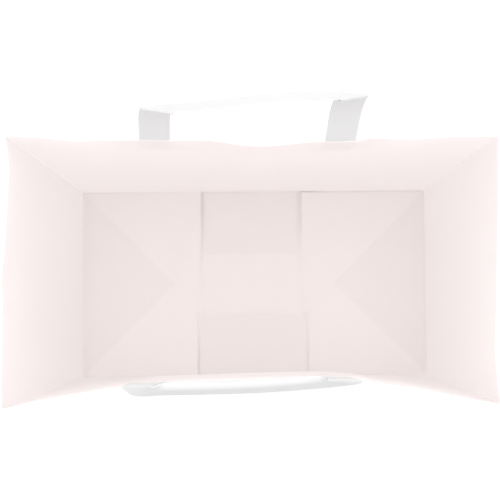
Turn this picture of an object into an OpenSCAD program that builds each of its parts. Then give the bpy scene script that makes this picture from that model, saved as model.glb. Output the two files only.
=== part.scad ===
// Open paper carrier bag with a folded block bottom and two flat paper handles.
// The bag is one folded sheet. Each handle is one strip, folded at two corners and
// glued to the outside of a long panel under a paper patch.
// Millimetres. Origin at the centre of the base on the ground, +Z up,
// +X along the long panels, +Y towards the back panel.

/* [Bag] */
// Width of the front and back panels
bag_w = 260; // [200:1:400]
// Depth of the side panels
bag_d = 140; // [90:1:200]
// Height from the ground to the mouth
bag_h = 320; // [220:1:480]
// Thickness of one ply of the bag paper
paper_t = 0.16; // [0.1:0.01:0.3]

/* [Shape of the open mouth] */
// How far the front panel bows in at the mouth
front_bow = 13.5; // [0:0.5:30]
// How far the back panel bows in at the mouth
back_bow = 2; // [0:0.5:30]
// How late the bow grows with height, 1 is a straight lean
bow_power = 1.3; // [1:0.1:3]
// How fast the bow fades from the handle zone to the corners
fade_power = 1.3; // [1:0.1:3]
// How far the side panels are drawn in at their centre fold
gusset_in = 1.2; // [0:0.1:8]
// Share of that draw left at the mouth
gusset_rest = 0.4; // [0:0.1:1]
// How far the back panel stands out at its cross crease
crease_out = 0.5; // [0:0.1:3]

/* [Block bottom] */
// How far the back flap passes the centre line
back_lap = 24; // [6:1:40]
// How far the front flap passes the centre line
front_lap = 22; // [6:1:40]
// The same for the back half of the side flaps
side_lap_back = 22; // [4:1:40]
// The same for the front half of the side flaps
side_lap_front = 18; // [4:1:40]
// Slack between the side flaps' folded edges and the long panels
flap_gap = 0.6; // [0.3:0.1:2]
// Pitch of the pinked ends
tooth_pitch = 3.5; // [2:0.1:6]
// Depth of the pinked ends
tooth_depth = 1.4; // [0.5:0.1:3]

/* [Handles] */
// Width of the folded strip
strip_w = 16.5; // [10:0.5:25]
// Thickness of the folded strip
strip_t = 0.6; // [0.3:0.1:1.2]
// Width over both legs
handle_w = 114; // [90:1:140]
// Length of leg from the mouth to the corner where its fold begins
handle_rise = 66; // [40:1:100]
// Length of leg glued to the panel
glued_len = 38; // [25:1:60]
// Place of the front handle along the panel
front_handle_x = -5; // [-12:0.5:12]
// Place of the back handle along the panel
back_handle_x = -2.5; // [-12:0.5:12]
// Outward lean of the front handle's legs where they leave the panel, degrees
front_root_lean = 3; // [-5:1:40]
// Outward lean of the front handle's legs at the corners, degrees
front_top_lean = -2; // [-20:1:20]
// Outward lean of the back handle's legs where they leave the panel, degrees
back_root_lean = 33; // [-5:1:40]
// Outward lean of the back handle's legs at the corners, degrees
back_top_lean = -15; // [-20:1:20]
// Length of leg in which it bends away from the panel
root_bend = 8; // [4:1:20]
// How far the middle of a bar's lower edge springs out from the corners
bar_spring = 4.2; // [1:0.2:10]
// The same for the upper edge of the front handle's bar
front_crown = 0; // [0:0.2:5]
// The same for the upper edge of the back handle's bar
back_crown = 1.8; // [0:0.2:5]
// Inner radius of the folds between the legs and the bar
fold_r = 0.15; // [0.05:0.05:0.5]

/* [Patches] */
// Width of a patch past the legs, each side
patch_side = 15; // [6:1:25]
// Height of a patch
patch_h = 44; // [30:1:60]
// Distance from the mouth down to a patch
patch_drop = 4; // [1:0.5:20]
// Thickness of the patch paper
patch_t = 0.2; // [0.1:0.01:0.3]
// Width of the ramp where a patch steps over a leg
patch_ramp = 2.5; // [1:0.5:4]
// Glue line between papers
glue_gap = 0.1; // [0.05:0.01:0.3]

/* [Hidden] */
half_w = bag_w / 2;
half_d = bag_d / 2;

// Flap lengths, kept inside the base at any size
far_room = 6;
middle_room = 8;
flap_max = min(bag_d - far_room, half_w - middle_room);
back_flap = min(half_d + back_lap, flap_max);
front_flap = min(half_d + front_lap, flap_max);
side_flap_back = min(half_d + side_lap_back, flap_max);
side_flap_front = min(half_d + side_lap_front, flap_max);

// Zone of the long panels that the handle keeps flat
zone_rim = 1;
zone = handle_w / 2 + max(abs(front_handle_x), abs(back_handle_x)) + zone_rim;
crease_z = min(half_d, bag_h / 3);

// Stations across the panels and levels up them
zone_cells = 4;
fade_cells = 9;
side_cells = 14;
low_cells = side_cells / 2;
high_cells = 12;
panel_x = [
    for (i = [0:fade_cells]) -half_w + (half_w - zone) * i / fade_cells,
    for (i = [1:zone_cells - 1]) -zone + 2 * zone * i / zone_cells,
    for (i = [0:fade_cells]) zone + (half_w - zone) * i / fade_cells
];
panel_y = [for (i = [0:side_cells]) -half_d + bag_d * i / side_cells];
level = [
    for (i = [0:low_cells]) crease_z * i / low_cells,
    for (i = [1:high_cells]) crease_z + (bag_h - crease_z) * i / high_cells
];

// Share of the bow at a place across and at a height
function across(x) = 1 - pow(max(0, abs(x) - zone) / (half_w - zone), fade_power);
function upward(z) = pow(z / bag_h, bow_power);
across_at = [for (x = panel_x) [x, across(x)]];
upward_at = [for (z = level) [z, upward(z)]];
function bowed(x, z, bow) = bow * lookup(x, across_at) * lookup(z, upward_at);

// Hipped fold of a side panel: a triangle off the base, then the centre fold
function drawn(y, z) = gusset_in * min(z / crease_z, 1 - abs(y) / half_d)
    * (1 - (1 - gusset_rest) * max(0, z - crease_z) / (bag_h - crease_z));
crease_fade = 4;
function creased(x, z) = crease_out * max(0, 1 - abs(z - crease_z) / crease_z)
    * (1 - pow(abs(x) / half_w, crease_fade));

// One level of the wall, anticlockwise from the front left corner
function ring(z, t) = [
    for (i = [0:len(panel_x) - 2]) let (x = panel_x[i])
        [x * (half_w - t) / half_w, -half_d + t + bowed(x, z, front_bow)],
    for (i = [0:len(panel_y) - 2]) let (y = panel_y[i])
        [half_w - t - drawn(y, z), y * (half_d - t) / half_d],
    for (i = [len(panel_x) - 1:-1:1]) let (x = panel_x[i])
        [x * (half_w - t) / half_w,
         half_d - t - bowed(x, z, back_bow) + creased(x, z)],
    for (i = [len(panel_y) - 1:-1:1]) let (y = panel_y[i])
        [-half_w + t + drawn(y, z), y * (half_d - t) / half_d]
];
ring_n = 2 * (len(panel_x) + len(panel_y)) - 4;
side_from = len(panel_x) - 1;
back_from = side_from + side_cells;
left_from = back_from + len(panel_x) - 1;

// True where a cell's diagonal falls to the right, to follow the slanted folds
function falls(i) = (i >= side_from + side_cells / 2 && i < back_from)
    || i >= left_from + side_cells / 2;

// The four walls as one closed sheet of paper
module walls() {
    n = ring_n;
    rows = len(level);
    inner = n * rows;
    points = [
        for (t = [0, paper_t]) for (z = level) for (p = ring(z, t)) [p[0], p[1], z]
    ];
    polyhedron(points, [
        for (r = [0:rows - 2]) for (i = [0:n - 1])
            let (a = r * n + i, b = r * n + (i + 1) % n, c = b + n, d = a + n)
            each falls(i)
                ? [[a, d, b], [b, d, c],
                   [a + inner, b + inner, d + inner], [b + inner, c + inner, d + inner]]
                : [[a, c, b], [a, d, c],
                   [a + inner, b + inner, c + inner], [a + inner, c + inner, d + inner]],
        for (i = [0:n - 1])
            let (j = (i + 1) % n, o = (rows - 1) * n + i, p = (rows - 1) * n + j)
            each [[o, o + inner, p + inner], [o, p + inner, p],
                  [i, j + inner, i + inner], [i, j, j + inner]]
    ], convexity = 8);
}

// Pinked line from a to b: teeth cut back to the left of the way it runs
function pinked(a, b) =
    let (v = b - a, long = norm(v), n = max(1, floor(long / tooth_pitch)),
         u = v / long, back = [-u[1], u[0]] * tooth_depth)
    [for (i = [0:n - 1]) each [a + v * i / n, a + v * (i + 0.5) / n + back]];

// Ply number of the stack, counted up from the ground
module ply(n) {
    translate([0, 0, n * paper_t]) linear_extrude(height = paper_t) children();
}

// The fold lines of the base run in the middle of the paper
base_w = half_w - paper_t / 2;
base_d = half_d - paper_t / 2;

// A long flap with its slanted folds, drawn at the front
module long_flap(length) {
    a = [-base_w + length, -base_d + length];
    b = [base_w - length, -base_d + length];
    polygon(concat([[-base_w, -base_d], [base_w, -base_d]], pinked(b, a), [a]));
}

// The corner that the slanted fold turns back over a long flap, front left
module corner_ply(length) {
    a = [-base_w + length, -base_d];
    b = [-base_w + length, -base_d + length];
    polygon(concat([[-base_w, -base_d]], pinked(a, b), [b]));
}

// A side flap, its halves cut to their own lengths, at the left
module side_flap() {
    y = base_d - flap_gap;
    a = [-base_w + side_flap_front, -y];
    b = [-base_w + side_flap_front, 0];
    c = [-base_w + side_flap_back, 0];
    d = [-base_w + side_flap_back, y];
    polygon(concat([[-base_w, -y]], pinked(a, b), [b], pinked(c, d), [d, [-base_w, y]]));
}

module bag_body() color("#f8eeec") union() {
    walls();
    ply(0) long_flap(front_flap);
    ply(1) for (k = [0, 1]) mirror([k, 0]) corner_ply(front_flap);
    ply(2) mirror([0, 1]) long_flap(back_flap);
    ply(3) mirror([0, 1]) for (k = [0, 1]) mirror([k, 0]) corner_ply(back_flap);
    ply(4) for (k = [0, 1]) mirror([k, 0]) side_flap();
}

// Handles and patches are drawn with +Y outwards from the foot of their panel.
leg_out = handle_w / 2;
leg_in = leg_out - strip_w;
// Stations of the panels that lie closer than this to an end are left out
snap = 0.5;

// Stations of length along a free leg, from the mouth to its corner
root_cells = 3;
leg_cells = 12;
run = [
    for (i = [0:root_cells]) root_bend * i / root_cells,
    for (i = [1:leg_cells]) root_bend + (handle_rise - root_bend) * i / leg_cells
];
function lean(s, foot, root, top) = s < root_bend
    ? foot + (root - foot) * s / root_bend
    : root + (top - root) * (s - root_bend) / (handle_rise - root_bend);

// Middle of the strip along a free leg, as [out, up, lean], from the station k
function climb(p, k, foot, root, top) = k == len(run) - 1 ? [p]
    : let (ds = run[k + 1] - run[k], a = lean((run[k] + run[k + 1]) / 2, foot, root, top))
        concat([p], climb([p[0] + ds * sin(a), p[1] + ds * cos(a),
                           lean(run[k + 1], foot, root, top)], k + 1, foot, root, top));

// Side profile of a leg from its glued foot to its corner
function leg_profile(bow, root, top) =
    let (low = bag_h - glued_len,
         zs = [low, for (z = level) if (z > low + snap && z < bag_h - snap) z, bag_h],
         last = zs[len(zs) - 2],
         foot = atan2(bowed(0, last, bow) - bowed(0, bag_h, bow), bag_h - last),
         glued = [for (z = zs) [glue_gap + strip_t / 2 - bowed(0, z, bow), z, foot]])
    concat([for (i = [0:len(glued) - 2]) glued[i]],
           climb(glued[len(glued) - 1], 0, foot, root, top));

// A strip is a row of cross lines, each [lower or outer edge, other edge, normal].
// Cross lines of the left leg
function leg_lines(path) = [
    for (p = path) [[-leg_out, p[0], p[1]], [-leg_in, p[0], p[1]],
                    [0, cos(p[2]), -sin(p[2])]]
];

// Cross lines round the rolled edge of the fold, a and b being its ends
roll = fold_r + strip_t / 2;
fold_turn = 30;
function fold_lines(a, b, n) =
    let (away = cross(b - a, n) / -norm(b - a))
    [for (turn = [0:fold_turn:180 - fold_turn / 2])
        let (off = roll * (sin(turn) * away + (1 - cos(turn)) * n))
        [a + off, b + off, n * cos(turn) - away * sin(turn)]];

// Cross lines of the bar, which turn from one fold's slant to the other's
bar_cells = 24;
spring_power = 3;
function bar_lines(a, b, n, crown) =
    let (low = a + 2 * roll * n, high = b + 2 * roll * n,
         ends = [for (i = [0:bar_cells])
            let (u = 2 * i / bar_cells - 1,
                 out = low[1] + bar_spring * (1 - pow(abs(u), spring_power)),
                 in = high[1] + crown * (1 - u * u))
            [[u * leg_out, out, low[2]],
             [u * leg_in, in, low[2] + sqrt(strip_w * strip_w - pow(out - in, 2))]]])
    [for (i = [1:bar_cells - 1])
        let (v = cross(ends[i + 1][0] + ends[i + 1][1] - ends[i - 1][0] - ends[i - 1][1],
                       ends[i][1] - ends[i][0]))
        [ends[i][0], ends[i][1], v / norm(v)]];

// The same lines on the other half, taken in the other order
function mirrored(lines) = [
    for (i = [len(lines) - 1:-1:0]) [for (p = lines[i]) [-p[0], p[1], p[2]]]
];

// Closed sheet along a row of cross lines
module strip(lines) {
    n = len(lines);
    h = strip_t / 2;
    points = [
        for (l = lines) each [l[0] + h * l[2], l[1] + h * l[2],
                              l[1] - h * l[2], l[0] - h * l[2]]
    ];
    polyhedron(points, [
        [3, 2, 1, 0],
        for (i = [0:n - 2]) for (k = [0:3])
            let (p = 4 * i + k, q = 4 * i + (k + 1) % 4)
            each [[p, q, q + 4], [p, q + 4, p + 4]],
        [for (k = [0:3]) 4 * (n - 1) + k]
    ], convexity = 6);
}

// One strip: up one leg, folded at 45 degrees into the bar, down the other leg
module strip_handle(bow, root, top, crown) {
    path = leg_profile(bow, root, top);
    corner = path[len(path) - 1];
    n = [0, cos(top), -sin(top)];
    a = [-leg_out, corner[0], corner[1]];
    b = [-leg_in, corner[0] + strip_w * sin(top), corner[1] + strip_w * cos(top)];
    side = concat(leg_lines([for (i = [0:len(path) - 2]) path[i]]), fold_lines(a, b, n));
    strip(concat(side, bar_lines(a, b, n, crown), mirrored(side)));
}

module front_handle() color("#f4f4f4") translate([front_handle_x, -half_d, 0])
    mirror([0, 1, 0])
        strip_handle(front_bow, front_root_lean, front_top_lean, front_crown);

module back_handle() color("#f4f4f4") translate([back_handle_x, half_d, 0])
    strip_handle(back_bow, back_root_lean, back_top_lean, back_crown);

// Patch that steps over both legs: distance out from the panel at a place across
patch_clear = 0.4;
function step_over(x) = let (u = abs(x))
    glue_gap + (strip_t + glue_gap)
        * max(0, min(1, (leg_out + patch_clear + patch_ramp - u) / patch_ramp,
                     (u - leg_in + patch_clear + patch_ramp) / patch_ramp));
function sorted(v) = len(v) < 2 ? v : let (m = v[floor(len(v) / 2)])
    concat(sorted([for (x = v) if (x < m) x]), [for (x = v) if (x == m) x][0],
           sorted([for (x = v) if (x > m) x]));

// Sheet over a grid of places across and up, with its thickness outwards
module patch(bow, place) {
    half = leg_out + patch_side;
    top = bag_h - patch_drop;
    foot = top - patch_h;
    xs = sorted(concat(
        [-half, half],
        [for (k = [-1, 1]) each [k * (leg_out + patch_clear + patch_ramp),
                                 k * (leg_out + patch_clear), k * (leg_in - patch_clear),
                                 k * (leg_in - patch_clear - patch_ramp)]],
        [for (x = panel_x) if (abs(x - place) < half - snap) x - place]
    ));
    zs = concat([foot], [for (z = level) if (z > foot + snap && z < top - snap) z], [top]);
    nx = len(xs);
    nz = len(zs);
    inner = nx * nz;
    points = [
        for (t = [0, patch_t]) for (z = zs) for (x = xs)
            [x, t + step_over(x) - bowed(x + place, z, bow), z]
    ];
    polyhedron(points, [
        for (r = [0:nz - 2]) for (i = [0:nx - 2])
            let (a = r * nx + i, b = a + 1, c = b + nx, d = a + nx)
            each [[a, b, c], [a, c, d],
                  [a + inner, c + inner, b + inner], [a + inner, d + inner, c + inner]],
        for (i = [0:nx - 2])
            let (a = i, b = (nz - 1) * nx + i)
            each [[a, a + inner, a + 1 + inner], [a, a + 1 + inner, a + 1],
                  [b, b + 1 + inner, b + inner], [b, b + 1, b + 1 + inner]],
        for (r = [0:nz - 2])
            let (a = r * nx, b = r * nx + nx - 1)
            each [[a, a + nx, a + nx + inner], [a, a + nx + inner, a + inner],
                  [b, b + nx + inner, b + nx], [b, b + inner, b + nx + inner]]
    ], convexity = 4);
}

module front_patch() color("#f8eeec") translate([front_handle_x, -half_d, 0])
    mirror([0, 1, 0]) patch(front_bow, front_handle_x);

module back_patch() color("#f8eeec") translate([back_handle_x, half_d, 0])
    patch(back_bow, back_handle_x);

bag_body();
front_handle();
back_handle();
front_patch();
back_patch();
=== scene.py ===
"""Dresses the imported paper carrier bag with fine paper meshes, procedural paper and soft light.

The bag is one sheet and each handle is one strip. So every mesh here starts as a flat grid,
the paper before it was folded, whose points are moved to where the folded paper lies.
All sizes are in metres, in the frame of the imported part: origin at the centre of the base,
+Z up, +X along the long panels and +Y towards the back panel.
"""

import logging
import math
from bisect import bisect_right
from dataclasses import dataclass
from enum import Enum
from typing import Any, Callable, Sequence

import bmesh
import bpy
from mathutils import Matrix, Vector, noise


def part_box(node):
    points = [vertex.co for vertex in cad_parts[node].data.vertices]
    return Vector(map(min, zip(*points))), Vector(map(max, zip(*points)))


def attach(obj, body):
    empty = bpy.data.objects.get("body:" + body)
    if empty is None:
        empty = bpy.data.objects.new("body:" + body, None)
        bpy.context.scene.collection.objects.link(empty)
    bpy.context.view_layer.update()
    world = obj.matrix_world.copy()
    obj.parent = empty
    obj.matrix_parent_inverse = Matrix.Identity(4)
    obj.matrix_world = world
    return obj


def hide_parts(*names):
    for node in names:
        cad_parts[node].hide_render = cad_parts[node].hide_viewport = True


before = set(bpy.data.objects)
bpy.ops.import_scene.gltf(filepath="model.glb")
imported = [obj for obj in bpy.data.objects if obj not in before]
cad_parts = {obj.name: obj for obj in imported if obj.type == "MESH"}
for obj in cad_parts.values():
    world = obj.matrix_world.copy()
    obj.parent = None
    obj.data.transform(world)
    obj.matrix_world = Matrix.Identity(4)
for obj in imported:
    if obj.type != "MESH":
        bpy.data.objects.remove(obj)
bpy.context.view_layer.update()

LOG = logging.getLogger("paper_bag")
MM = 0.001
BODY = "root"
# Name of the attribute that says how well other plies back a face; it sets the painted shade that darkens
# lone plies of the base
BACKING = "backing"
# Points nearer than this are one point, for cuts and strips and for the seams of the tube
CLOSE = 0.001 * MM
SEAM = 0.01 * MM
# Share of a sheet's length past which a point is on its free end
AT_END = 0.999
TINY = 1e-6
WHITE = (1.0, 1.0, 1.0, 1.0)

Colour = tuple[float, float, float]
Placer = Callable[[float, float], Vector]
# A point of a fold's plane and the plane's normal
Plane = tuple[Vector, Vector]
# A cross line of a strip: outer point, inner point and normal
Station = tuple[Vector, Vector, Vector]


class Side(Enum):
    """The two long panels, with the sign of their place along Y."""

    FRONT = -1
    BACK = 1

    @property
    def label(self) -> str:
        """Name that the side's nodes start with."""
        return self.name.lower()


def through(knots: Sequence[float], values: Sequence[Any], at: float) -> Any:
    """Gives the value at a place on a smooth curve through points.

    Args:
        knots: Rising places of the points.
        values: Numbers or vectors, one for each knot.
        at: The place asked for. Past the ends the end values hold.

    Returns:
        The value there, of the kind that the values are.
    """
    last = len(knots) - 1
    k = min(max(bisect_right(knots, at) - 1, 0), last - 1)
    span = knots[k + 1] - knots[k]
    u = min(max((at - knots[k]) / span, 0.0), 1.0)

    def slope(i: int) -> Any:
        """Slope of the curve at the knot i."""
        a, b = max(i - 1, 0), min(i + 1, last)
        return (values[b] - values[a]) * (1 / (knots[b] - knots[a]))

    return (
        values[k] * ((1 + 2 * u) * (1 - u) ** 2)
        + slope(k) * (span * u * (1 - u) ** 2)
        + values[k + 1] * (u * u * (3 - 2 * u))
        + slope(k + 1) * (span * u * u * (u - 1))
    )


def smooth_step(low: float, high: float, at: float) -> float:
    """Rises smoothly from 0 at low to 1 at high."""
    u = min(max((at - low) / (high - low), 0.0), 1.0)
    return u * u * (3 - 2 * u)


def blank(columns: int, rows: int) -> bmesh.types.BMesh:
    """Makes a flat sheet, the paper before it is folded, 0 to 1 both ways.

    Args:
        columns: Cells along X.
        rows: Cells along Y.

    Returns:
        The sheet as a mesh being edited.
    """
    bm = bmesh.new()
    bmesh.ops.create_grid(bm, x_segments=columns, y_segments=rows, size=0.5)
    bmesh.ops.translate(bm, verts=bm.verts, vec=(0.5, 0.5, 0.0))
    return bm


def lay(bm: bmesh.types.BMesh, place: Placer) -> None:
    """Moves every point of a blank to where the folded paper has it.

    Args:
        bm: The flat sheet.
        place: Gives the place of the point that was at (u, v) on the sheet.
    """
    for vert in bm.verts:
        vert.co = place(vert.co.x, vert.co.y)


def finish_piece(bm: bmesh.types.BMesh, name: str, *finishes: "PaperFinish") -> bpy.types.Object:
    """Turns a mesh being edited into a smooth piece with crisp cut edges that rides on the bag.

    Args:
        bm: The mesh, which is used up.
        name: Name of the new piece.
        finishes: The papers that it is made of, in the order of its faces' material numbers.

    Returns:
        The new object, at the origin.
    """
    for face in bm.faces:
        face.smooth = True
    for edge in bm.edges:
        if edge.is_boundary:
            edge.smooth = False
    mesh = bpy.data.meshes.new(name)
    bm.to_mesh(mesh)
    bm.free()
    for finish in finishes:
        mesh.materials.append(finish.material())
    piece = bpy.data.objects.new(name, mesh)
    bpy.context.scene.collection.objects.link(piece)
    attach(piece, BODY)
    return piece


def thicken(piece: bpy.types.Object, thickness: float, offset: float) -> None:
    """Gives a sheet its thickness with a live modifier.

    Args:
        piece: The sheet.
        thickness: Thickness of the paper.
        offset: 1 to thicken along the normals, -1 against them, 0 both ways.
    """
    solid = piece.modifiers.new("paper_thickness", "SOLIDIFY")
    solid.thickness = thickness
    solid.offset = offset
    solid.use_even_offset = False


class FibreGroup:
    """Shader group for the look of uncoated paper: cloudy formation, fibres and cockle."""

    name = "paper_fibre"
    # Scale and detail of each noise
    cloud = (45.0, 4.0)
    fleck = (520.0, 3.0)
    cockle = (24.0, 2.0)
    rib = (900.0, 0.0)
    # The fibres run up the bag
    fibre_stretch = (1.0, 1.0, 0.25)
    fibre_height = 0.12
    roughness_low = 0.68
    roughness_span = 0.2

    def node_tree(self) -> bpy.types.NodeTree:
        """Gives the group, built the first time it is asked for."""
        return bpy.data.node_groups.get(self.name) or self._build()

    def _build(self) -> bpy.types.NodeTree:
        """Builds the group from noises on object coordinates."""
        tree = bpy.data.node_groups.new(self.name, "ShaderNodeTree")
        sockets = tree.interface
        for label, default in (("Cloud", 0.02), ("Fleck", 0.02), ("Cockle", 1.0), ("Rib", 0.2)):
            socket = sockets.new_socket(name=label, in_out="INPUT", socket_type="NodeSocketFloat")
            socket.default_value = default
        for label in ("Tone", "Roughness", "Height"):
            sockets.new_socket(name=label, in_out="OUTPUT", socket_type="NodeSocketFloat")
        nodes, links = tree.nodes, tree.links
        inputs = nodes.new("NodeGroupInput")
        outputs = nodes.new("NodeGroupOutput")
        place = nodes.new("ShaderNodeTexCoord").outputs["Object"]

        def grain(kind: tuple[float, float], vector: bpy.types.NodeSocket) -> bpy.types.NodeSocket:
            """Adds one noise and gives its value."""
            made = nodes.new("ShaderNodeTexNoise")
            for label, value in zip(("Scale", "Detail"), kind):
                made.inputs[label].default_value = value
            links.new(vector, made.inputs["Vector"])
            return made.outputs[0]

        def maths(kind: str, a: Any, b: Any, c: Any = None) -> bpy.types.NodeSocket:
            """Adds one sum and gives its result."""
            made = nodes.new("ShaderNodeMath")
            made.operation = kind
            for socket, value in zip(made.inputs, (a, b, c)):
                if isinstance(value, bpy.types.NodeSocket):
                    links.new(value, socket)
                elif value is not None:
                    socket.default_value = value
            return made.outputs[0]

        stretched = nodes.new("ShaderNodeMapping")
        stretched.inputs["Scale"].default_value = self.fibre_stretch
        links.new(place, stretched.inputs["Vector"])
        formation = grain(self.cloud, place)
        fibres = grain(self.fleck, stretched.outputs[0])
        cockle = grain(self.cockle, place)
        ribs = grain(self.rib, stretched.outputs[0])

        clouded = maths("MULTIPLY", maths("SUBTRACT", formation, 0.5), inputs.outputs["Cloud"])
        flecked = maths("MULTIPLY", maths("SUBTRACT", fibres, 0.5), inputs.outputs["Fleck"])
        tone = maths("ADD", maths("ADD", clouded, flecked), 1.0)
        links.new(tone, outputs.inputs["Tone"])
        rough = maths("MULTIPLY_ADD", fibres, self.roughness_span, self.roughness_low)
        links.new(rough, outputs.inputs["Roughness"])
        ribbed = maths("MULTIPLY", ribs, inputs.outputs["Rib"])
        swell = maths("MULTIPLY", cockle, inputs.outputs["Cockle"])
        height = maths("ADD", maths("MULTIPLY_ADD", fibres, self.fibre_height, ribbed), swell)
        links.new(height, outputs.inputs["Height"])
        return tree


@dataclass(frozen=True)
class PaperFinish:
    """One paper: its colour where several plies lie together and, if given, a darker colour painted as
    shade where one ply lies alone.
    """

    part: str
    slot: str
    full: Colour
    thin: Colour | None = None
    cloud: float = 0.02
    fleck: float = 0.02
    cockle: float = 1.0
    rib: float = 0.2
    relief: float = 0.25 * MM
    relief_strength: float = 0.6
    specular: float = 0.25
    glow_through: float = 0.35

    @property
    def name(self) -> str:
        """Name of the material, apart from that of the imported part."""
        return f"{self.part}_fibres"

    def material(self) -> bpy.types.Material:
        """Gives the paper's material, built the first time it is asked for."""
        return bpy.data.materials.get(self.name) or self._build()

    def _build(self) -> bpy.types.Material:
        """Builds the material around the fibre group."""
        material = bpy.data.materials.new(self.name)
        material.use_nodes = True
        nodes, links = material.node_tree.nodes, material.node_tree.links
        shader = nodes["Principled BSDF"]
        shader.inputs["Specular IOR Level"].default_value = self.specular

        fibre = nodes.new("ShaderNodeGroup")
        fibre.node_tree = FibreGroup().node_tree()
        for label, value in (
            ("Cloud", self.cloud), ("Fleck", self.fleck), ("Cockle", self.cockle), ("Rib", self.rib)
        ):
            fibre.inputs[label].default_value = value

        backing = nodes.new("ShaderNodeAttribute")
        backing.attribute_name = BACKING
        # Painted shade: lone plies get the darker colour, backed plies the paper's own
        lone_ply_shade_mix = nodes.new("ShaderNodeMix")
        lone_ply_shade_mix.data_type = "RGBA"
        lone_ply_shade_mix.inputs["A"].default_value = (*(self.thin or self.full), 1.0)
        lone_ply_shade_mix.inputs["B"].default_value = (*self.full, 1.0)
        links.new(backing.outputs["Fac"], lone_ply_shade_mix.inputs["Factor"])
        toned = nodes.new("ShaderNodeVectorMath")
        toned.operation = "SCALE"
        links.new(lone_ply_shade_mix.outputs["Result"], toned.inputs[0])
        links.new(fibre.outputs["Tone"], toned.inputs["Scale"])
        links.new(toned.outputs[0], shader.inputs["Base Color"])
        links.new(fibre.outputs["Roughness"], shader.inputs["Roughness"])

        bump = nodes.new("ShaderNodeBump")
        bump.inputs["Distance"].default_value = self.relief
        bump.inputs["Strength"].default_value = self.relief_strength
        links.new(fibre.outputs["Height"], bump.inputs["Height"])
        links.new(bump.outputs["Normal"], shader.inputs["Normal"])

        through_paper = nodes.new("ShaderNodeBsdfTranslucent")
        links.new(toned.outputs[0], through_paper.inputs["Color"])
        mix = nodes.new("ShaderNodeMixShader")
        mix.inputs[0].default_value = self.glow_through
        links.new(shader.outputs[0], mix.inputs[1])
        links.new(through_paper.outputs[0], mix.inputs[2])
        links.new(mix.outputs[0], nodes["Material Output"].inputs["Surface"])
        return material


WALL_PAPER = PaperFinish("wall", "bag_paper", full=(0.97, 0.942, 0.938), glow_through=0.58)
# Painted shade: the base paper is opaque, and its darker colour for lone plies stands in for the shade
# beneath that would show through a single ply
BASE_PAPER = PaperFinish("base", "bag_paper", full=(0.965, 0.934, 0.93), thin=(0.94, 0.908, 0.905),
                         glow_through=0.0)
STRIP_PAPER = PaperFinish("strip", "handle_paper", full=(0.805, 0.805, 0.807), glow_through=0.15)
# The legs below the rim, glued under the patch: painted light, a near-white and nearly see-through copy
# of the strip paper, so that the legs cast no shade through the bag's wall
SHADE_HIDING_FOOT_PAPER = PaperFinish("foot", "handle_paper", full=(0.97, 0.97, 0.97), glow_through=0.95)
# Painted light: the patch is paler than the bag's paper and nearly see-through, so that it casts almost
# no shade through the wall
SHADE_HIDING_PATCH_PAPER = PaperFinish("patch", "patch_paper", full=(0.98, 0.966, 0.964), glow_through=0.95)


def turn_faces(bm: bmesh.types.BMesh, towards: Vector) -> None:
    """Turns all the faces of a sheet to the side that a direction points to.

    Args:
        bm: The sheet.
        towards: The direction that its faces look in.
    """
    bmesh.ops.recalc_face_normals(bm, faces=bm.faces)
    if sum(face.normal.dot(towards) for face in bm.faces) < 0:
        bmesh.ops.reverse_faces(bm, faces=bm.faces)


def set_backing(bm: bmesh.types.BMesh, share: Callable[[Vector], float]) -> None:
    """Writes on every face how well other plies back it, which sets the painted shade of lone plies.

    Args:
        bm: The mesh.
        share: Gives 0, lying alone, to 1, well backed, for the middle of a face.
    """
    layer = bm.faces.layers.float.new(BACKING)
    for face in bm.faces:
        face[layer] = share(face.calc_center_median())


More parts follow.
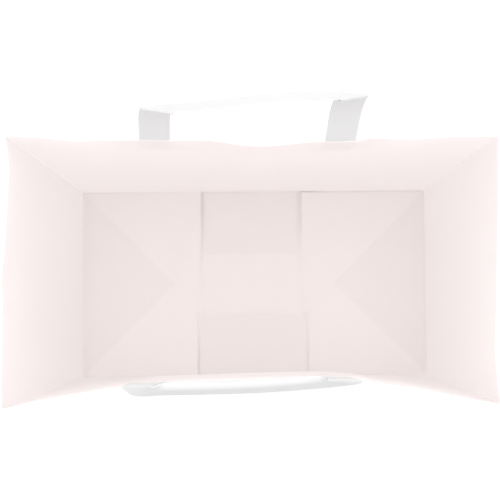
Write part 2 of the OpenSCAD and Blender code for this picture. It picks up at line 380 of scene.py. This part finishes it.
@dataclass
class BagShell:
    """The bag: four panels wrapped from one sheet, over the plies of the folded base."""

    width: float
    depth: float
    height: float
    paper: float = 0.16 * MM
    cell: float = 2.6 * MM
    rise_power: float = 1.3
    front_belly: float = 0.7
    # The crease across the long panels, and the folded ridges of the side panels that fade upwards
    crease_out: float = 0.4 * MM
    crease_run: float = 7.2 * MM
    ridge_in: float = 1.1 * MM
    ridge_fade: float = 0.6
    # Low waves: depth, pace along a panel and per metre up, and where they start above the ground
    ripple: float = 0.35 * MM
    ripple_pace: tuple[float, float] = (2.3, 14.0)
    ripple_shift: float = 0.37
    ripple_start: float = 0.3
    # How far each rim lies inside its panel's plane, in mm, from one corner to the other
    front_knots: tuple[float, ...] = (
        -1, -0.95, -0.90, -0.83, -0.76, -0.65, -0.53, -0.41, -0.05, 0.30, 0.44, 0.56, 0.69, 0.80, 0.92, 1)
    front_rim: tuple[float, ...] = (
        -2.2, -1.1, 0.8, 2.6, 4.3, 6.6, 9.3, 11.2, 13.2, 14.1, 13.0, 9.7, 7.0, 3.9, 0.6, -1.2)
    back_knots: tuple[float, ...] = (
        -1, -0.93, -0.82, -0.72, -0.60, -0.45, -0.33, -0.22, -0.13, -0.03, 0.05, 0.13, 0.24, 0.33, 0.43,
        0.48, 0.58, 0.68, 0.80, 0.92, 1)
    back_rim: tuple[float, ...] = (
        -1.9, -1.9, -1.0, 0.5, 0.2, 0.2, 0.7, 0.5, 1.5, 3.5, 4.0, 3.5, 2.1, 2.1, 1.9,
        0.4, 0.8, 0.9, -0.2, -0.3, -0.2)
    left_knots: tuple[float, ...] = (-1, -0.85, -0.62, -0.42, -0.20, -0.05, 0.23, 0.50, 0.80, 1)
    left_rim: tuple[float, ...] = (-2.3, -2.6, -2.1, -2.0, -1.9, -2.4, -0.8, 0.4, 1.1, -0.6)
    right_knots: tuple[float, ...] = (-1, -0.81, -0.60, -0.35, -0.03, 0.25, 0.46, 0.75, 1)
    right_rim: tuple[float, ...] = (-0.5, 0.8, 2.0, 1.1, 0.2, -0.2, -0.9, -1.3, -1.4)

    def rise(self, side: str, z: float) -> float:
        """Share of a rim's offset that shows at a height."""
        share = max(z / self.height, 0.0)
        if side == "front":
            return share * (1 + self.front_belly * (1 - share))
        return share ** self.rise_power

    def inward(self, side: str, u: float, z: float) -> float:
        """Gives how far a panel lies inside its plane.

        Args:
            side: front, back, left or right.
            u: Place along the panel, -1 to 1, along +X or +Y.
            z: Height.

        Returns:
            The distance inwards.
        """
        knots, rim = getattr(self, side + "_knots"), getattr(self, side + "_rim")
        draw = through(knots, rim, u) * MM * self.rise(side, z)
        return draw + self.relief(side, u, z)

    def relief(self, side: str, u: float, z: float) -> float:
        """Gives the low relief of folds and waves, inwards, none at the corners and the ground."""
        fold_z = self.depth / 2
        calm = (1 - u ** 4) * smooth_step(0, self.ripple_start * fold_z, z)
        along, up = self.ripple_pace
        seat = Vector((u * along, z * up, sum(map(ord, side)) * self.ripple_shift))
        wave = self.ripple * noise.noise(seat) * calm
        if side in ("front", "back"):
            return wave - self.crease_out * math.exp(-abs(z - fold_z) / self.crease_run) * calm
        ridge = max(min(z / fold_z, 1 - abs(u)), 0.0)
        rest = 1 - self.ridge_fade * smooth_step(fold_z, self.height, z)
        return wave + self.ridge_in * ridge * rest

    def wall_point(self, panel: int, along: float, z: float) -> Vector:
        """Gives the outer face of the paper at a place on the sheet.

        Args:
            panel: 0 front, 1 right, 2 back, 3 left, in the order that they are wrapped.
            along: Place along the panel, 0 to 1, in the same order.
            z: Height.

        Returns:
            The point.
        """
        side = ("front", "right", "back", "left")[panel]
        sign = 1 if panel in (0, 1) else -1
        u = sign * (2 * along - 1)
        if side in ("front", "back"):
            y = self.edge(side, u, z) * (-1 if side == "front" else 1)
            return Vector((self.between("left", "right", side, u, z), y, z))
        return Vector((sign * self.edge(side, u, z), self.between("front", "back", side, u, z), z))

    def edge(self, side: str, u: float, z: float) -> float:
        """Distance of a panel from the middle of the bag at a place along it."""
        half = (self.depth if side in ("front", "back") else self.width) / 2
        return half - self.inward(side, u, z)

    def between(self, low: str, high: str, side: str, u: float, z: float) -> float:
        """Place along a panel, stretched between its two upright folds.

        Args:
            low: Panel round the fold at -1.
            high: Panel round the fold at 1.
            side: The panel itself.
            u: Place along it, -1 to 1.
            z: Height.

        Returns:
            The place along X for a long panel, along Y for a side panel.
        """
        end = -1.0 if side in ("left", "front") else 1.0
        return -self.edge(low, end, z) * (1 - u) / 2 + self.edge(high, end, z) * (1 + u) / 2

    def build_walls(self) -> bpy.types.Object:
        """Wraps the four panels from one sheet and closes the tube."""
        wide = round(self.width / self.cell)
        deep = round(self.depth / self.cell / 2) * 2
        starts = (0, wide, wide + deep, 2 * wide + deep, 2 * (wide + deep))
        columns = starts[-1]
        rows = round(self.height / self.cell)
        bm = blank(columns, rows)

        def wrap(u: float, v: float) -> Vector:
            """Place of a point of the sheet on the tube."""
            column = u * columns
            panel = min(bisect_right(starts, column + TINY) - 1, 3)
            along = (column - starts[panel]) / (starts[panel + 1] - starts[panel])
            return self.wall_point(panel, along, v * self.height)

        for edge in bm.edges:
            at = {round(vert.co.x * columns) for vert in edge.verts}
            edge.smooth = len(at) > 1 or not at & set(starts)
        lay(bm, wrap)
        bmesh.ops.remove_doubles(bm, verts=bm.verts, dist=SEAM)
        set_backing(bm, lambda middle: 1.0)
        walls = finish_piece(bm, "bag_walls", WALL_PAPER)
        thicken(walls, self.paper, -1)
        return walls


class Ply(Enum):
    """The plies of the folded base, from the ground up."""

    FRONT_FLAP = 0
    FRONT_CORNERS = 1
    BACK_FLAP = 2
    BACK_CORNERS = 3
    SIDE_FLAPS = 4

    @property
    def end(self) -> int:
        """Sign along Y of the long panel that the ply hangs on."""
        return 1 if self in (Ply.BACK_FLAP, Ply.BACK_CORNERS) else -1

    @property
    def is_flap(self) -> bool:
        """True for the two long flaps."""
        return self in (Ply.FRONT_FLAP, Ply.BACK_FLAP)


@dataclass
class FoldedBase:
    """The folded block bottom: long flaps, the corners turned back over them, side flaps."""

    bag: BagShell
    front_reach: float = 92 * MM
    back_reach: float = 94 * MM
    # Reach from the side panels, left and right
    front_corner_reach: tuple[float, float] = (87.2 * MM, 88.8 * MM)
    back_corner_reach: tuple[float, float] = (91.6 * MM, 96.4 * MM)
    front_half_reach: tuple[float, float] = (88.0 * MM, 89.8 * MM)
    back_half_reach: tuple[float, float] = (90.6 * MM, 94.4 * MM)
    halves_part: float = -22 * MM
    slack: float = 0.02 * MM
    back_slack: tuple[float, float] = (0.02 * MM, 0.9 * MM)
    tooth_pitch: float = 3.5 * MM
    tooth_depth: float = 1.5 * MM
    step: float = 0.19 * MM
    lowest: float = 0.03 * MM
    soft: float = 1.6 * MM
    # Round fold by which a flap hangs on its panel: rise, reach and rows of cells
    turn_up: float = 0.9 * MM
    turn_run: float = 1.2 * MM
    turn_rows: int = 4
    spring_run: float = 20 * MM
    # How far free ends spring up: towards the back wall, towards the front one, elsewhere
    spring_back: float = 1.5 * MM
    spring_front: float = 0.7 * MM
    spring_flap: float = 0.12 * MM
    spring_corner_share: float = 0.45
    pressed_back: float = 12 * MM
    pressed_front: float = -26 * MM
    # Plies below the paper from which it has its full tone, free of the painted shade of a lone ply
    backed_by: float = 1.2

    def __post_init__(self) -> None:
        """Keeps the base inside the paper of the walls."""
        self.half_w = self.bag.width / 2 - self.bag.paper
        self.half_d = self.bag.depth / 2 - self.bag.paper

    def reach(self, ply: Ply, x: float, y: float) -> float:
        """Length of a ply from the panel that it hangs on, near a place."""
        hand = 0 if x < 0 else 1
        if ply is Ply.SIDE_FLAPS:
            return (self.back_half_reach if y > self.halves_part else self.front_half_reach)[hand]
        if ply is Ply.FRONT_CORNERS:
            return self.front_corner_reach[hand]
        if ply is Ply.BACK_CORNERS:
            return self.back_corner_reach[hand]
        return self.front_reach if ply is Ply.FRONT_FLAP else self.back_reach

    def room(self, ply: Ply, x: float, y: float) -> float:
        """Distance that a place lies inside the outline of a ply, below 0 outside it."""
        side_in = self.half_w - abs(x)
        long_in = self.half_d - ply.end * y
        reach = self.reach(ply, x, y)
        if ply is Ply.SIDE_FLAPS:
            return reach - side_in
        if ply.is_flap:
            return min(reach - long_in, side_in - long_in)
        return min(reach - side_in, side_in - long_in)

    def left_over(self, ply: Ply, x: float, y: float) -> float:
        """Distance from a place of a ply to its free end."""
        inside = self.half_d - ply.end * y if ply.is_flap else self.half_w - abs(x)
        return self.reach(ply, x, y) - inside

    def bed(self, ply: Ply, x: float, y: float) -> float:
        """Height at which a ply lies, on those laid before it."""
        under = [other for other in Ply if other.value < ply.value]
        covers = [smooth_step(-self.soft, self.soft, self.room(other, x, y)) for other in under]
        return self.lowest + self.step * sum(covers)

    def spring(self, ply: Ply, x: float, y: float) -> float:
        """How far a ply springs up near its free end."""
        near_end = 1 - smooth_step(0, self.spring_run, self.left_over(ply, x, y))
        if ply.is_flap:
            return self.spring_flap * near_end
        back = self.spring_back * smooth_step(self.pressed_back, self.half_d, y)
        front = self.spring_front * smooth_step(-self.pressed_front, self.half_d, -y)
        share = 1.0 if ply is Ply.SIDE_FLAPS else self.spring_corner_share
        return share * (back + front) * near_end

    def turned_up(self, ply: Ply, x: float, y: float) -> float:
        """Rise of the round fold by which a flap hangs on its panel."""
        inside = self.half_d - ply.end * y if ply.is_flap else self.half_w - abs(x)
        if ply in (Ply.FRONT_CORNERS, Ply.BACK_CORNERS):
            return 0.0
        return self.turn_up * max(1 - inside / self.turn_run, 0.0) ** 2

    def backing(self, place: Vector) -> float:
        """Share of full tone at a place: 0 where one ply lies alone and is painted darker as shade, 1
        where others back it.
        """
        plies = sum(self.room(ply, place.x, place.y) > 0 for ply in Ply)
        return min((plies - 1) / self.backed_by, 1.0)

    def slanted_fold(self, side: int, end: int) -> Plane:
        """Plane of the fold that runs in at 45 degrees from a corner of the base."""
        corner = Vector((side * self.half_w, end * self.half_d, 0))
        return corner, Vector((side, -end, 0)).normalized()

    def folds(self) -> list[Plane]:
        """Planes of the slanted folds and of the hidden ends, where the painted shade of lone plies
        starts or stops.
        """
        made = [self.slanted_fold(side, end) for side in (-1, 1) for end in (-1, 1)]
        made.append((Vector((0, self.front_reach - self.half_d, 0)), Vector((0, 1, 0))))
        made.append((Vector((0, self.half_d - self.back_reach, 0)), Vector((0, 1, 0))))
        return made

    def run_in(self, v: float, rows: int) -> float:
        """Spaces a ply's rows, the first few of them close together for the round fold."""
        row = v * rows
        close = self.turn_run / self.turn_rows / (self.tooth_pitch * rows)
        past = row - self.turn_rows
        if round(past) <= 0:
            return row * close
        turned = self.turn_rows * close
        return turned + past / (rows - self.turn_rows) * (1 - turned)

    def teeth(self, u: float, v: float, columns: int) -> float:
        """How far a point of a sheet is cut back, none but at every other point of its end."""
        return self.tooth_depth * (round(u * columns) % 2) if v > AT_END else 0.0

    def build(self) -> list[bpy.types.Object]:
        """Lays all the plies from the ground up."""
        made = []
        for ply in Ply:
            made += [self._long_flap(ply)] if ply.is_flap else [self._side_ply(ply, k) for k in (-1, 1)]
        return made

    def _lay_ply(self, ply: Ply, name: str, bm: bmesh.types.BMesh,
                 cuts: Sequence[Plane]) -> bpy.types.Object:
        """Cuts a flat ply along its folds, settles it on those below and gives it its paper.

        Args:
            ply: Its place in the stack.
            name: Name of the piece.
            bm: The flat ply, at no height.
            cuts: Points and normals of the folds; what lies past them is cut off.

        Returns:
            The ply.
        """
        for keep, planes in ((False, cuts), (True, self.folds())):
            for middle, normal in planes:
                everything = bm.verts[:] + bm.edges[:] + bm.faces[:]
                bmesh.ops.bisect_plane(bm, geom=everything, plane_co=middle, plane_no=normal,
                                       clear_outer=not keep, dist=CLOSE)
        for vert in bm.verts:
            x, y = vert.co.x, vert.co.y
            vert.co.z = self.bed(ply, x, y) + self.spring(ply, x, y) + self.turned_up(ply, x, y)
        set_backing(bm, self.backing)
        turn_faces(bm, Vector((0, 0, 1)))
        piece = finish_piece(bm, name, BASE_PAPER)
        thicken(piece, self.bag.paper, 1)
        return piece

    def _long_flap(self, ply: Ply) -> bpy.types.Object:
        """Lays a long flap, cut along its slanted folds."""
        reach = self.reach(ply, 0, 0)
        columns = 2 * round(2 * self.half_w / self.tooth_pitch)
        rows = round(reach / self.tooth_pitch)

        def place(u: float, v: float) -> Vector:
            """Place of a point of the flap."""
            far = reach * self.run_in(v, rows) - self.teeth(u, v, columns)
            return Vector(((2 * u - 1) * self.half_w, ply.end * (self.half_d - far), 0))

        bm = blank(columns, rows)
        lay(bm, place)
        cuts = [self.slanted_fold(side, ply.end) for side in (-1, 1)]
        return self._lay_ply(ply, ply.name.lower(), bm, cuts)

    def _side_ply(self, ply: Ply, side: int) -> bpy.types.Object:
        """Lays a side flap, or a corner that a slanted fold turns back over its long flap."""
        hand = 0 if side < 0 else 1
        whole = ply is Ply.SIDE_FLAPS
        reach = self.reach(ply, side, 0)
        low = -self.half_d + self.slack if whole or ply.end < 0 else self.half_d - reach
        high = self.half_d - self.back_slack[hand] if whole or ply.end > 0 else reach - self.half_d
        columns = 2 * round((high - low) / self.tooth_pitch)
        rows = round(reach / self.tooth_pitch)

        def place(u: float, v: float) -> Vector:
            """Place of a point of the ply."""
            y = low + (high - low) * u
            far = self.reach(ply, side, y) * self.run_in(v, rows) - self.teeth(u, v, columns)
            return Vector((side * (self.half_w - far), y, 0))

        bm = blank(columns, rows)
        lay(bm, place)
        cuts = [] if whole else [self.slanted_fold(side, ply.end)]
        name = f"{ply.name.lower()}_{'left' if side < 0 else 'right'}"
        return self._lay_ply(ply, name, bm, cuts)


def points(*places: tuple[float, float, float]) -> tuple[Vector, ...]:
    """Points given in millimetres."""
    return tuple(Vector(place) * MM for place in places)


def level(z: float, *places: tuple[float, float]) -> tuple[Vector, ...]:
    """Points at one height, given in millimetres."""
    return points(*((x, y, z) for x, y in places))


@dataclass
class StripHandle:
    """One folded strip: up a leg, over a 45 degree fold into the bar, and down the other leg."""

    bag: BagShell
    side: Side
    # Outer and inner edges of the legs from the rim to the folds, left and right
    left_outer: tuple[Vector, ...]
    left_inner: tuple[Vector, ...]
    right_outer: tuple[Vector, ...]
    right_inner: tuple[Vector, ...]
    # Edges of the bar between the folds, from left to right
    lower: tuple[Vector, ...]
    upper: tuple[Vector, ...]
    thickness: float = 0.6 * MM
    glued: float = 38 * MM
    gap: float = 0.1 * MM
    foot_show: float = 0.5 * MM
    fold_radius: float = 0.15 * MM
    fold_degrees: range = range(20, 171, 25)
    # Share of the bar's width that curls over along its upper edge, how far in, the fall in
    # shares of that, how the bend grows, and the share of the strip in which the curl starts
    curl_share: float = 0.0
    curl_over: float = 0.0
    curl_drop: float = 0.45
    curl_power: float = 1.5
    curl_start: float = 0.03
    foot_cells: int = 14
    edge_cells: int = 4
    leg_cells: int = 26
    bar_cells: int = 70
    width_cells: int = 10

    def outward(self) -> Vector:
        """Direction away from the bag."""
        return Vector((0, self.side.value, 0))

    def panel_point(self, x: float, z: float) -> Vector:
        """Middle of the strip where it is glued to the panel."""
        u = x / (self.bag.width / 2)
        inward = self.bag.inward(self.side.label, u, z)
        stand = self.gap + self.thickness / 2
        return Vector((x, self.side.value * (self.bag.depth / 2 - inward + stand), z))

    def leg(self, outer: Sequence[Vector], inner: Sequence[Vector]) -> list[Station]:
        """Gives the cross lines of a leg, from its glued foot to its fold.

        Args:
            outer: Edge away from the middle of the handle, from the rim up.
            inner: The other edge.

        Returns:
            Cross lines as outer point, inner point and outward normal.
        """
        top = self.bag.height
        made = []
        for i in range(self.foot_cells):
            z = top - self.glued * (1 - i / self.foot_cells)
            made.append((self.panel_point(outer[0].x, z), self.panel_point(inner[0].x, z)))
        knots = [i / (len(outer) - 1) for i in range(len(outer))]
        rim = (self.panel_point(outer[0].x, top), self.panel_point(inner[0].x, top))
        outer = [rim[0], *outer[1:]]
        inner = [rim[1], *inner[1:]]
        for i in range(self.leg_cells + 1):
            u = i / self.leg_cells
            made.append((through(knots, outer, u), through(knots, inner, u)))
        return self.with_normals(made, self.outward())

    def with_normals(self, lines: Sequence[tuple[Vector, Vector]], hint: Vector) -> list[Station]:
        """Adds to each cross line the normal of the strip, on the side of the hint."""
        made = []
        for i, (a, b) in enumerate(lines):
            before, after = lines[max(i - 1, 0)], lines[min(i + 1, len(lines) - 1)]
            run = after[0] + after[1] - before[0] - before[1]
            normal = (b - a).cross(run).normalized()
            made.append((a, b, normal if normal.dot(hint) > 0 else -normal))
        return made

    def fold(self, leg_end: Station, bar_start: tuple[Vector, Vector], hint: Vector) -> list[Station]:
        """Rolls the strip over from the end of a leg to the start of the bar.

        Args:
            leg_end: Last cross line of the leg.
            bar_start: First cross line of the bar. Not used.
            hint: Direction past the fold, away from the strip.

        Returns:
            Cross lines whose normals turn round the fold.
        """
        a, b, normal = leg_end
        fold_line = (b - a).normalized()
        away = fold_line.cross(normal).normalized()
        away = away if away.dot(hint) > 0 else -away
        radius = self.fold_radius + self.thickness / 2
        made = []
        for turn in self.fold_degrees:
            angle = math.radians(turn)
            offset = (away * math.sin(angle) + normal * (1 - math.cos(angle))) * radius
            made.append((a + offset, b + offset, normal * math.cos(angle) + away * math.sin(angle)))
        return made

    def stations(self) -> list[Station]:
        """Gives all the cross lines of the strip, from the left foot to the right one."""
        left = self.leg(self.left_outer, self.left_inner)
        right = self.leg(self.right_outer, self.right_inner)
        radius = self.fold_radius + self.thickness / 2
        shift_l, shift_r = left[-1][2] * 2 * radius, right[-1][2] * 2 * radius
        lower = [left[-1][0] + shift_l, *self.lower, right[-1][0] + shift_r]
        upper = [left[-1][1] + shift_l, *self.upper, right[-1][1] + shift_r]
        knots_low = self.lengths(lower)
        knots_up = self.lengths(upper)
        lines = []
        for i in range(1, self.bar_cells):
            u = i / self.bar_cells
            lines.append((through(knots_low, lower, u), through(knots_up, upper, u)))
        bar = [(a, b, -n) for a, b, n in self.with_normals(lines, self.outward())]
        corner_l = self.fold(left[-1], lines[0], Vector((-1, 0, 1)))
        corner_r = self.fold(right[-1], lines[-1], Vector((1, 0, 1)))
        return left[:-1] + corner_l + bar + corner_r[::-1] + right[-2::-1]

    @staticmethod
    def lengths(points: Sequence[Vector]) -> list[float]:
        """Shares of the whole length at which the points lie."""
        total = [0.0]
        for a, b in zip(points, points[1:]):
            total.append(total[-1] + (b - a).length)
        return [t / total[-1] for t in total]

    def section(self) -> list[tuple[float, float]]:
        """Cross section of the folded strip: place across and height, once round."""
        half = self.thickness / 2
        width = (self.left_outer[-1] - self.left_inner[-1]).length / math.sqrt(2)
        inset = half / width
        flat = [inset + (1 - 2 * inset) * i / self.width_cells for i in range(self.width_cells + 1)]
        loop = [(w, half) for w in flat]
        for i in range(1, self.edge_cells):
            angle = math.pi * i / self.edge_cells
            loop.append((1 - inset + inset * math.sin(angle), half * math.cos(angle)))
        loop += [(w, -half) for w in reversed(flat)]
        for i in range(1, self.edge_cells):
            angle = math.pi * i / self.edge_cells
            loop.append((inset - inset * math.sin(angle), -half * math.cos(angle)))
        return loop

    def curl(self, line: int, count: int, across: float) -> Vector:
        """Bends the bar's upper edge over towards the bag, least at the folds.

        Args:
            line: Number of the cross line.
            count: Number of cross lines.
            across: Place across the strip.

        Returns:
            The shift of the point.
        """
        legs = (count - self.bar_cells) / 2 / count
        along = min(line / count, 1 - line / count)
        share = smooth_step(legs, legs + self.curl_start, along) * self.curl_over
        bend = max(across - 1 + self.curl_share, 0.0) / max(self.curl_share, TINY)
        drop = Vector((0, 0, -self.curl_drop * bend ** 2))
        return (drop - self.outward() * bend ** self.curl_power) * share

    def build(self) -> bpy.types.Object:
        """Folds the strip out of one sheet that is wrapped round its own width."""
        lines = self.stations()
        loop = self.section()
        bm = blank(len(lines) - 1, len(loop))

        def place(u: float, v: float) -> Vector:
            """Place of a point of the sheet on the strip."""
            line = round(u * (len(lines) - 1))
            a, b, normal = lines[line]
            across, height = loop[round(v * len(loop)) % len(loop)]
            return a.lerp(b, across) + normal * height + self.curl(line, len(lines), across)

        lay(bm, place)
        bmesh.ops.remove_doubles(bm, verts=bm.verts, dist=CLOSE)
        bmesh.ops.holes_fill(bm, edges=bm.edges, sides=0)
        bmesh.ops.recalc_face_normals(bm, faces=bm.faces)
        set_backing(bm, lambda middle: 1.0)
        # Faces below the rim take the painted-light copy of the strip paper, which casts no shade through
        # the wall
        for face in bm.faces:
            face.material_index = int(face.calc_center_median().z < self.bag.height - self.foot_show)
        piece = finish_piece(bm, f"{self.side.label}_strip", STRIP_PAPER, SHADE_HIDING_FOOT_PAPER)
        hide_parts(f"{self.side.label}_handle")
        return piece


@dataclass
class GluedPatch:
    """Paper patch glued over both legs of a handle on the outside of a panel."""

    handle: StripHandle
    beyond: float = 15 * MM
    tall: float = 44 * MM
    drop: float = 4 * MM
    paper: float = 0.2 * MM
    ramp: float = 2.6 * MM
    clear: float = 0.4 * MM
    cell: float = 1.3 * MM

    def legs(self) -> list[tuple[float, float]]:
        """Places of the two legs along the panel, as their two edges."""
        handle = self.handle
        return [
            (handle.left_outer[0].x, handle.left_inner[0].x),
            (handle.right_inner[0].x, handle.right_outer[0].x),
        ]

    def step_over(self, x: float) -> float:
        """How far the patch stands off the panel at a place along it."""
        over = max(
            smooth_step(low - self.clear - self.ramp, low - self.clear, x)
            * (1 - smooth_step(high + self.clear, high + self.clear + self.ramp, x))
            for low, high in self.legs()
        )
        return self.handle.gap + (self.handle.thickness + self.handle.gap) * over

    def build(self) -> bpy.types.Object:
        """Lays the patch over the panel and the legs."""
        bag, side = self.handle.bag, self.handle.side
        (left, _), (_, right) = self.legs()
        left, right = left - self.beyond, right + self.beyond
        top = bag.height - self.drop
        columns = round((right - left) / self.cell)
        rows = round(self.tall / self.cell)
        bm = blank(columns, rows)

        def place(u: float, v: float) -> Vector:
            """Place of a point of the patch."""
            x = left + (right - left) * u
            z = top - self.tall * (1 - v)
            inward = bag.inward(side.label, x / (bag.width / 2), z)
            y = bag.depth / 2 - inward + self.step_over(x)
            return Vector((x, side.value * y, z))

        lay(bm, place)
        turn_faces(bm, self.handle.outward())
        set_backing(bm, lambda middle: 1.0)
        piece = finish_piece(bm, f"{side.label}_glued_patch", SHADE_HIDING_PATCH_PAPER)
        thicken(piece, self.paper, 1)
        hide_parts(f"{side.label}_patch")
        return piece


def front_strip(bag: BagShell) -> StripHandle:
    """The front handle, which stands nearly upright."""
    return StripHandle(
        bag=bag,
        side=Side.FRONT,
        left_outer=points((-62.5, -58, 320), (-62.4, -57.8, 342), (-61.7, -57.0, 387)),
        left_inner=points((-46.0, -58, 320), (-46.1, -57.6, 350), (-46.0, -56.0, 403)),
        right_outer=points((51.5, -57, 320), (51.9, -56.2, 342), (52.5, -55.0, 387)),
        right_inner=points((35.0, -57, 320), (35.4, -56.0, 350), (35.6, -53.4, 403)),
        lower=level(387, (-56.7, -61.3), (-44.0, -61.2), (-27.2, -61.0),
                    (0.6, -60.4), (26.8, -58.8), (48.0, -56.8)),
        upper=level(401.6, (-42.5, -56.6), (-36.0, -57.4), (-19.0, -57.2),
                    (0.2, -56.6), (19.0, -55.4), (31.5, -53.9)),
        curl_share=0.14,
        curl_over=2.1 * MM,
    )


def back_strip(bag: BagShell) -> StripHandle:
    """The back handle, which curls out from the panel and back in at the bar."""
    return StripHandle(
        bag=bag,
        side=Side.BACK,
        left_outer=points((-59.3, 69, 320), (-57.8, 77.5, 342), (-55.0, 80.2, 364), (-52.5, 76.5, 383)),
        left_inner=points((-42.9, 69, 320), (-41.0, 78.5, 347), (-38.5, 78.2, 373), (-36.1, 71.8, 398)),
        right_outer=points((55.8, 69, 320), (57.0, 79.5, 342), (58.2, 84.2, 364), (57.6, 82.0, 383)),
        right_inner=points((39.4, 69, 320), (40.8, 81.0, 347), (42.2, 82.8, 373), (42.9, 77.6, 398)),
        lower=level(383, (-45.9, 78.4), (-36.1, 79.2), (-22.1, 80.4), (2.0, 83.0),
                    (25.2, 84.4), (41.6, 84.6), (52.4, 83.4)),
        upper=level(398, (-10.2, 74.4), (2.1, 76.0), (23.8, 77.0)),
    )


@dataclass(frozen=True)
class Lamp:
    """One round soft lamp."""

    name: str
    place: tuple[float, float, float]
    aim: tuple[float, float, float]
    size: float
    power: float

    def build(self) -> None:
        """Hangs the lamp, turned towards its aim and out of the camera's sight."""
        data = bpy.data.lights.new(self.name, "AREA")
        data.shape = "DISK"
        data.size = self.size
        data.energy = self.power
        lamp = bpy.data.objects.new(self.name, data)
        lamp.location = self.place
        towards = Vector(self.aim) - Vector(self.place)
        lamp.rotation_euler = towards.to_track_quat("-Z", "Y").to_euler()
        lamp.visible_camera = False
        bpy.context.scene.collection.objects.link(lamp)


@dataclass
class Studio:
    """Camera, soft light, pale floor and white surroundings."""

    camera_place: tuple[float, float, float] = (0.00425, -0.0220, 1.0471)
    camera_turn: tuple[float, float, float] = (0.0451, 0.0072, -0.0064)
    lens: float = 99.15
    sensor: float = 36.0
    lamps: tuple[Lamp, ...] = (
        Lamp("top_lamp", place=(0.03, 0.14, 2.0), aim=(0.0, 0.0, 0.0), size=0.8, power=4.0),
        Lamp("back_lamp", place=(0.2, 1.7, 1.5), aim=(0.0, 0.0, 0.3), size=1.2, power=7.5),
        Lamp("left_lamp", place=(-1.7, 0.3, 1.2), aim=(0.0, 0.0, 0.2), size=1.2, power=2.2),
        Lamp("right_lamp", place=(1.7, 0.3, 1.2), aim=(0.0, 0.0, 0.2), size=1.2, power=2.2),
    )
    world_light: float = 1.18
    floor_size: float = 6.0
    floor_albedo: float = 0.6
    floor_glow: float = 0.38

    def build_camera(self) -> None:
        """Places the camera over the mouth, as in the photograph."""
        data = bpy.data.cameras.new("camera")
        data.lens = self.lens
        data.sensor_width = self.sensor
        camera = bpy.data.objects.new("camera", data)
        camera.location = self.camera_place
        camera.rotation_euler = self.camera_turn
        bpy.context.scene.collection.objects.link(camera)
        bpy.context.scene.camera = camera

    @staticmethod
    def seen_directly(nodes: bpy.types.Nodes, links: bpy.types.NodeLinks) -> bpy.types.NodeSocket:
        """Adds a mask that is 1 for camera, mirrored and refracted rays."""
        path = nodes.new("ShaderNodeLightPath")
        mask = path.outputs["Is Camera Ray"]
        for label in ("Is Glossy Ray", "Is Transmission Ray"):
            either = nodes.new("ShaderNodeMath")
            either.operation = "MAXIMUM"
            links.new(mask, either.inputs[0])
            links.new(path.outputs[label], either.inputs[1])
            mask = either.outputs[0]
        return mask

    def build_world(self) -> None:
        """Lights the scene from all round and shows white where the camera sees it."""
        world = bpy.data.worlds.new("white_room")
        world.use_nodes = True
        bpy.context.scene.world = world
        nodes, links = world.node_tree.nodes, world.node_tree.links
        light = nodes["Background"]
        light.inputs["Color"].default_value = WHITE
        light.inputs["Strength"].default_value = self.world_light
        white = nodes.new("ShaderNodeBackground")
        white.inputs["Color"].default_value = WHITE
        mix = nodes.new("ShaderNodeMixShader")
        links.new(self.seen_directly(nodes, links), mix.inputs[0])
        links.new(light.outputs[0], mix.inputs[1])
        links.new(white.outputs[0], mix.inputs[2])
        links.new(mix.outputs[0], nodes["World Output"].inputs["Surface"])

    def build_floor(self) -> None:
        """Lays the floor, which looks white and keeps a light shadow."""
        bm = bmesh.new()
        bmesh.ops.create_grid(bm, x_segments=2, y_segments=2, size=self.floor_size / 2)
        mesh = bpy.data.meshes.new("floor")
        bm.to_mesh(mesh)
        bm.free()
        material = bpy.data.materials.new("pale_floor")
        material.use_nodes = True
        nodes, links = material.node_tree.nodes, material.node_tree.links
        nodes.remove(nodes["Principled BSDF"])
        matt = nodes.new("ShaderNodeBsdfDiffuse")
        matt.inputs["Color"].default_value = (*[self.floor_albedo] * 3, 1.0)
        glow = nodes.new("ShaderNodeEmission")
        strength = nodes.new("ShaderNodeMath")
        strength.operation = "MULTIPLY"
        strength.inputs[1].default_value = self.floor_glow
        links.new(self.seen_directly(nodes, links), strength.inputs[0])
        links.new(strength.outputs[0], glow.inputs["Strength"])
        both = nodes.new("ShaderNodeAddShader")
        links.new(matt.outputs[0], both.inputs[0])
        links.new(glow.outputs[0], both.inputs[1])
        links.new(both.outputs[0], nodes["Material Output"].inputs["Surface"])
        mesh.materials.append(material)
        floor = bpy.data.objects.new("floor", mesh)
        bpy.context.scene.collection.objects.link(floor)

    def build(self) -> None:
        """Builds the whole studio."""
        self.build_camera()
        for lamp in self.lamps:
            lamp.build()
        self.build_world()
        self.build_floor()
        bpy.context.scene.view_settings.view_transform = "Standard"


def packed_bag() -> BagShell:
    """Takes the bag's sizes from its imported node."""
    low, high = (Vector(corner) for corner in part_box("bag_body"))
    return BagShell(width=high.x - low.x, depth=-2 * low.y, height=high.z)


def main() -> None:
    """Builds the studio and every piece."""
    logging.basicConfig(level=logging.INFO, format="%(message)s")
    Studio().build()
    bag = packed_bag()
    LOG.info("bag %.0f x %.0f x %.0f mm", *(v / MM for v in (bag.width, bag.depth, bag.height)))
    walls = bag.build_walls()
    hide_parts("bag_body")
    LOG.info("%s: %d faces", walls.name, len(walls.data.polygons))
    for ply in FoldedBase(bag).build():
        LOG.info("%s: %d faces", ply.name, len(ply.data.polygons))
    for handle in (front_strip(bag), back_strip(bag)):
        for piece in (handle.build(), GluedPatch(handle).build()):
            LOG.info("%s: %d faces", piece.name, len(piece.data.polygons))


if __name__ == "__main__":
    main()
